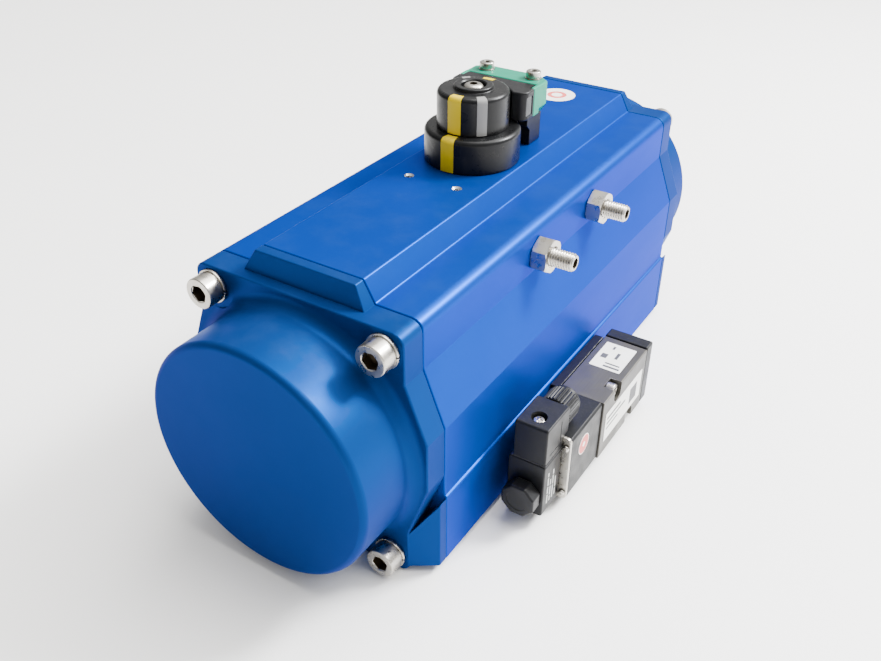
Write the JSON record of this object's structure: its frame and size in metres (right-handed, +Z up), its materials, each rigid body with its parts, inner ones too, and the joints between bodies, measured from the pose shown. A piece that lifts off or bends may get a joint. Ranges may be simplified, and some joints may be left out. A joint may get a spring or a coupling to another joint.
{
  "type": "rotary pneumatic actuator",
  "caption": "Spring-return rack and pinion pneumatic actuator with position puck, twin sensor and side-mounted solenoid valve.",
  "frame": {"origin": "on the drive shaft's axis, in the plane of the mounting base", "axes": "+Z up the drive shaft to the position puck, +Y along the bore towards the rear end cap, +X towards the solenoid valve"},
  "size_m": [0.1795, 0.386, 0.1962],
  "materials": {
    "blue_body_coat": "satin",
    "blue_cap_coat": "matte",
    "stainless": "satin",
    "gear_steel": "satin",
    "spring_steel": "satin",
    "cast_aluminium": "matte",
    "rubber": "matte",
    "bearing_plastic": "satin",
    "black_plastic": "satin",
    "yellow_plastic": "satin",
    "grey_plastic": "satin",
    "green_plastic": "satin",
    "valve_aluminium": "satin",
    "black_aluminium": "satin"
  },
  "bodies": {
    "housing": {"armature_tube": "stainless", "body_extrusion": "blue_body_coat", "bracket_screw_lower": "stainless", "bracket_screw_upper": "stainless", "coil_bracket": "stainless", "coil_nut": "black_plastic", "din_plug": "black_plastic", "front_cap_screw_lower_left": "stainless", "front_cap_screw_lower_right": "stainless", "front_cap_screw_upper_left": "stainless", "front_cap_screw_upper_right": "stainless", "front_cap_seal": "rubber", "front_end_cap": "blue_cap_coat", "front_spring": "spring_steel", "front_stop_nut": "stainless", "gland_nut": "black_plastic", "lower_bearing": "bearing_plastic", "namur_plate": "black_aluminium", "pilot_block": "black_plastic", "plug_screw": "stainless", "rear_cap_screw_lower_left": "stainless", "rear_cap_screw_lower_right": "stainless", "rear_cap_screw_upper_left": "stainless", "rear_cap_screw_upper_right": "stainless", "rear_cap_seal": "rubber", "rear_end_cap": "blue_cap_coat", "rear_spring": "spring_steel", "rear_stop_nut": "stainless", "sensor_cover": "green_plastic", "sensor_housing": "black_plastic", "sensor_screw_left": "stainless", "sensor_screw_right": "stainless", "solenoid_coil": "black_plastic", "spool_spring": "spring_steel", "upper_bearing": "bearing_plastic", "valve_body": "valve_aluminium", "valve_rear_cap": "black_plastic", "valve_screw_lower": "stainless", "valve_screw_upper": "stainless"},
    "rotor": {"pinion_shaft": "gear_steel", "stop_cam": "gear_steel", "circlip": "spring_steel", "indicator_base": "black_plastic", "indicator_cap": "black_plastic", "indicator_screw": "stainless", "lower_yellow_insert": "yellow_plastic", "upper_yellow_insert": "yellow_plastic", "upper_grey_insert": "grey_plastic"},
    "front_piston_unit": {"front_piston": "cast_aluminium", "front_piston_seal": "rubber", "front_guide_band": "bearing_plastic", "front_rack_pad": "bearing_plastic"},
    "rear_piston_unit": {"rear_piston": "cast_aluminium", "rear_piston_seal": "rubber", "rear_guide_band": "bearing_plastic", "rear_rack_pad": "bearing_plastic"},
    "front_stop": {"front_stop_bolt": "stainless"},
    "rear_stop": {"rear_stop_bolt": "stainless"},
    "spool": {"valve_spool": "cast_aluminium"},
    "plunger": {"plunger": "stainless"}
  },
  "joints": [
    {"name": "pinion_turn", "type": "hinge", "parent": "housing", "child": "rotor", "pos_m": [0, 0, 0.0715], "axis": [0, 0, 1], "range_deg": [0, 90], "stiffness_Nm_per_rad": 2},
    {"name": "front_piston_slide", "type": "slide", "parent": "housing", "child": "front_piston_unit", "axis": [0, -1, 0], "range_m": [0, 0.0393], "deforming": ["front_spring"]},
    {"name": "rear_piston_slide", "type": "slide", "parent": "housing", "child": "rear_piston_unit", "axis": [0, 1, 0], "range_m": [0, 0.0393], "deforming": ["rear_spring"]},
    {"name": "front_stop_adjust", "type": "slide", "parent": "housing", "child": "front_stop", "axis": [1, 0, 0], "range_m": [0, 0.003]},
    {"name": "rear_stop_adjust", "type": "slide", "parent": "housing", "child": "rear_stop", "axis": [1, 0, 0], "range_m": [0, 0.003]},
    {"name": "spool_slide", "type": "slide", "parent": "housing", "child": "spool", "axis": [0, 1, 0], "range_m": [0, 0.0028], "stiffness_N_per_m": 500, "springref_m": -0.002, "deforming": ["spool_spring"]},
    {"name": "plunger_slide", "type": "slide", "parent": "housing", "child": "plunger", "axis": [0, -1, 0], "range_m": [0, 0.0015], "stiffness_N_per_m": 400, "springref_m": -0.001}
  ],
  "couplings": [
    {"joint": "front_piston_slide", "follows": "pinion_turn", "m_per_rad": 0.025},
    {"joint": "rear_piston_slide", "follows": "pinion_turn", "m_per_rad": 0.025}
  ]
}
